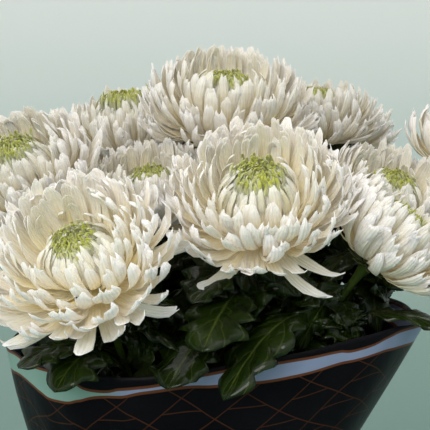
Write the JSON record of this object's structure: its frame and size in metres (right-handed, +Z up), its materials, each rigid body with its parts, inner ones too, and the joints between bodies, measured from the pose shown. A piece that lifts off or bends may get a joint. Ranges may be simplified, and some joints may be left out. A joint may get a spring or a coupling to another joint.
{
  "type": "chrysanthemums in a jar",
  "caption": "Tied bunch of large white incurved chrysanthemums with green hearts and dark leaves, in a printed film sleeve, standing in a clear glass jar of water.",
  "frame": {"origin": "middle of the jar's foot, on the surface it stands on", "axes": "+Z up the stems, the front faces -Y, +X to the viewer's right"},
  "size_m": [0.4589, 0.4385, 0.6351],
  "materials": {
    "glass_jar": "clear polished",
    "water": "clear still water",
    "sleeve_film": "glossy printed film, near black with thin copper lines and a pale blue-grey band",
    "band_rubber": "matt natural rubber",
    "petals": "soft matt white petal, cream at the foot",
    "heart": "soft matt white to green petal",
    "stem": "ribbed green stem",
    "leaf": "dark green, slightly glossy"
  },
  "bodies": {
    "root": {"jar": "glass_jar", "water": "water", "stem_tie": "band_rubber", "sleeve": "sleeve_film", "flower_01_stem": "stem", "flower_01_petals": "petals", "flower_01_heart": "heart", "flower_02_stem": "stem", "flower_02_petals": "petals", "flower_02_heart": "heart", "flower_03_stem": "stem", "flower_03_petals": "petals", "flower_03_heart": "heart", "flower_04_stem": "stem", "flower_04_petals": "petals", "flower_04_heart": "heart", "flower_05_stem": "stem", "flower_05_petals": "petals", "flower_05_heart": "heart", "flower_06_stem": "stem", "flower_06_petals": "petals", "flower_06_heart": "heart", "flower_07_stem": "stem", "flower_07_petals": "petals", "flower_07_heart": "heart", "flower_08_stem": "stem", "flower_08_petals": "petals", "flower_08_heart": "heart", "flower_09_stem": "stem", "flower_09_petals": "petals", "flower_09_heart": "heart", "flower_10_stem": "stem", "flower_10_petals": "petals", "flower_10_heart": "heart", "flower_11_stem": "stem", "flower_11_petals": "petals", "flower_11_heart": "heart", "flower_12_stem": "stem", "flower_12_petals": "petals", "flower_12_heart": "heart", "flower_13_stem": "stem", "flower_13_petals": "petals", "flower_13_heart": "heart", "leaf_01": "leaf", "leaf_02": "leaf", "leaf_03": "leaf", "leaf_04": "leaf", "leaf_05": "leaf", "leaf_06": "leaf", "leaf_07": "leaf", "leaf_08": "leaf", "leaf_09": "leaf", "leaf_10": "leaf", "leaf_11": "leaf", "leaf_12": "leaf", "leaf_13": "leaf", "leaf_14": "leaf", "leaf_15": "leaf", "leaf_16": "leaf", "leaf_17": "leaf"}
  },
  "joints": []
}
